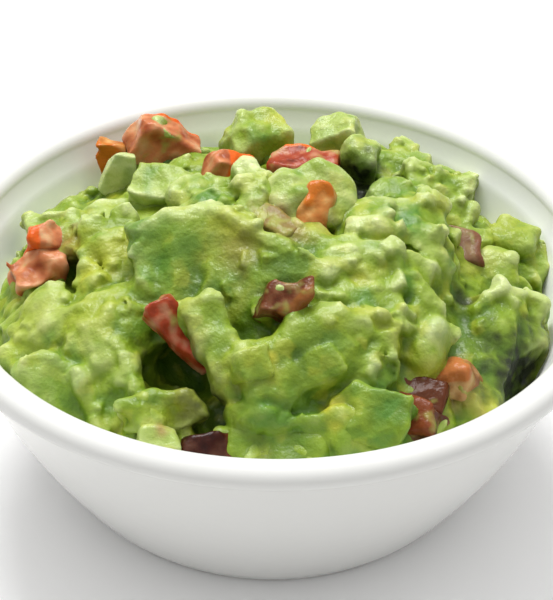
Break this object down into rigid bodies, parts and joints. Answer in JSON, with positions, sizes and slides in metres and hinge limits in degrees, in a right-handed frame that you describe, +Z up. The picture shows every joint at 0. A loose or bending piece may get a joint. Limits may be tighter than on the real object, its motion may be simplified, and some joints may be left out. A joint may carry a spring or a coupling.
{
  "type": "bowl of guacamole",
  "caption": "Small round white porcelain bowl with a rolled lip, heaped above its rim with chunky mashed avocado dip, chunks of avocado and diced tomato.",
  "frame": {"origin": "middle of the bowl's foot, on the surface that it stands on", "axes": "+Z up through the bowl's rim, -Y towards the front of the heap, +X to the right seen from the front"},
  "size_m": [0.13, 0.13, 0.0614],
  "materials": {
    "glaze": "smooth white glaze",
    "mash": "moist, buttery mash with small lumps",
    "avocado": "moist cut avocado, darker green towards the skin side",
    "tomato": "wet cut tomato with a glossy skin side"
  },
  "bodies": {
    "root": {"avocado_back_left_a": "avocado", "avocado_back_left_b": "avocado", "avocado_back_middle": "avocado", "avocado_back_right_a": "avocado", "avocado_back_right_b": "avocado", "avocado_fold": "avocado", "avocado_front": "avocado", "avocado_front_left_a": "avocado", "avocado_front_left_b": "avocado", "avocado_front_right": "avocado", "avocado_right_a": "avocado", "avocado_right_b": "avocado", "avocado_right_back": "avocado", "avocado_top": "avocado", "bowl": "glaze", "guacamole": "mash", "tomato_back_left_a": "tomato", "tomato_back_left_b": "tomato", "tomato_back_left_c": "tomato", "tomato_back_middle": "tomato", "tomato_front": "tomato", "tomato_front_left": "tomato", "tomato_front_right_a": "tomato", "tomato_front_right_b": "tomato", "tomato_front_right_c": "tomato", "tomato_left_a": "tomato", "tomato_left_b": "tomato", "tomato_middle": "tomato", "tomato_right": "tomato", "tomato_sliver": "tomato", "tomato_top": "tomato"}
  },
  "joints": []
}
